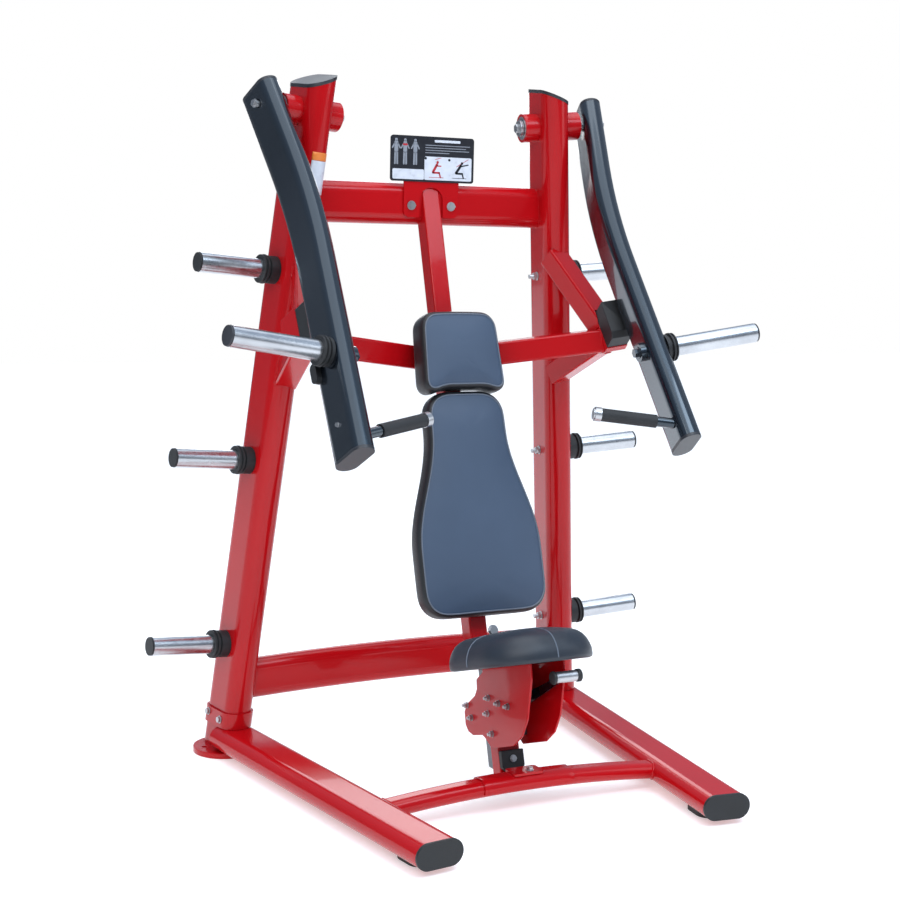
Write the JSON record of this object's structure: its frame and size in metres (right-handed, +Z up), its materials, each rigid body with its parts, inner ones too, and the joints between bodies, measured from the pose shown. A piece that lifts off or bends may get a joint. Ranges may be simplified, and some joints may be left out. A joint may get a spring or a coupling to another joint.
{
  "type": "chest press machine",
  "caption": "Plate-loaded seated chest press: welded tube frame, two lever arms on high pivots, reclined back pad, sliding seat and plate storage horns.",
  "frame": {"origin": "on the floor, under the middle of the machine's width and depth", "axes": "+Z up; -Y is the front, the way a seated user faces; +X to the right as seen from the front. Left and right in names are as seen from the front."},
  "size_m": [1.4852, 1.1157, 1.7811],
  "materials": {
    "rubber": "matte",
    "pad_cover": "satin grained",
    "board": "matte",
    "horn_chrome": "polished",
    "plated_steel": "satin",
    "cap_plastic": "satin",
    "placard": "gloss",
    "arm_black": "gloss",
    "frame_red": "gloss"
  },
  "bodies": {
    "frame": {"left_leg": "frame_red", "right_leg": "frame_red", "leg_caps": "rubber", "front_feet": "rubber", "rear_feet": "frame_red", "left_upright": "frame_red", "right_upright": "frame_red", "upright_caps": "cap_plastic", "foot_sockets": "frame_red", "front_crossbeam": "frame_red", "rear_crossbeam": "frame_red", "upper_crossbeam": "frame_red", "back_post": "frame_red", "post_bracket": "frame_red", "placard_bracket": "frame_red", "placard": "placard", "stop_beams": "frame_red", "upper_struts": "frame_red", "lower_struts": "frame_red", "stop_elbows": "frame_red", "bumpers": "rubber", "pivot_housings": "frame_red", "pivot_bearings": "plated_steel", "storage_horns": "horn_chrome", "storage_collars": "rubber", "storage_horn_caps": "rubber", "frame_bolts": "plated_steel", "head_pad": "pad_cover", "back_pad": "pad_cover", "pad_boards": "board", "seat_post": "frame_red", "seat_rail": "arm_black", "seat_saddle": "frame_red", "seat_stop": "rubber"},
    "left_lever_arm": {"left_arm": "arm_black", "left_arm_caps": "cap_plastic", "left_arm_shaft": "plated_steel", "left_load_horn": "horn_chrome", "left_load_collar": "rubber", "left_plate_rest": "rubber", "left_horn_boss": "arm_black", "left_handle": "arm_black", "left_grip": "rubber", "left_handle_end": "plated_steel"},
    "right_lever_arm": {"right_arm": "arm_black", "right_arm_caps": "cap_plastic", "right_arm_shaft": "plated_steel", "right_load_horn": "horn_chrome", "right_load_collar": "rubber", "right_plate_rest": "rubber", "right_horn_boss": "arm_black", "right_handle": "arm_black", "right_grip": "rubber", "right_handle_end": "plated_steel"},
    "seat": {"seat_pad": "pad_cover", "seat_carriage": "frame_red", "seat_guides": "cap_plastic", "seat_bolts": "plated_steel"},
    "seat_release": {"seat_lever": "arm_black", "seat_lever_grip": "rubber"}
  },
  "joints": [
    {"name": "left_arm_hinge", "type": "hinge", "parent": "frame", "child": "left_lever_arm", "pos_m": [-0.3494, 0.33055, 1.67944], "axis": [-0.9881, -0.1278, 0.0856], "range_deg": [0, 42]},
    {"name": "right_arm_hinge", "type": "hinge", "parent": "frame", "child": "right_lever_arm", "pos_m": [0.3494, 0.33055, 1.67944], "axis": [-0.9881, 0.1278, -0.0856], "range_deg": [0, 42]},
    {"name": "seat_slide", "type": "slide", "parent": "frame", "child": "seat", "axis": [0, 0.284, 0.9588], "range_m": [0, 0.12]},
    {"name": "seat_release_hinge", "type": "hinge", "parent": "seat", "child": "seat_release", "pos_m": [0.027, -0.19007, 0.25089], "axis": [-1, 0, 0], "range_deg": [0, 6], "stiffness_Nm_per_rad": 2, "springref_deg": -17.19}
  ]
}
